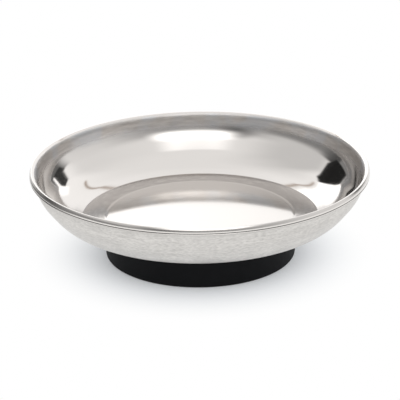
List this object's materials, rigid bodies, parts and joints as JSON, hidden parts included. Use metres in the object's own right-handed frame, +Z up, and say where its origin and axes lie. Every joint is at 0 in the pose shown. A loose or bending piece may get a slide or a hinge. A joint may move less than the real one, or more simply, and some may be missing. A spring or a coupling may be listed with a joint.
{
  "type": "magnetic parts tray",
  "caption": "Round polished steel dish with a rolled lip, on a magnet base in a black rubber boot, for holding loose screws and small steel parts.",
  "frame": {"origin": "middle of the boot's underside, on the surface that the tray stands on", "axes": "+Z up along the dish's axis, out of its open mouth; X and Y lie in the surface; -Y faces the camera of the picture"},
  "size_m": [0.15, 0.15, 0.0406],
  "materials": {
    "polished_steel": "polished",
    "plated_steel": "thin copper plating",
    "foam": "closed-cell foam",
    "ferrite": "ground sintered ferrite",
    "black_rubber": "smooth moulded, matte",
    "black_nylon": "moulded, fine grain",
    "zinc_steel": "bright zinc plated",
    "spring_steel": "dark spring steel"
  },
  "bodies": {
    "root": {"dish": "polished_steel", "weld_stud": "plated_steel", "foam_pad": "foam", "ring_magnet": "ferrite", "rubber_boot": "black_rubber", "retaining_hub": "black_nylon", "plain_washer": "zinc_steel", "spring_washer": "spring_steel", "hex_nut": "zinc_steel"}
  },
  "joints": []
}
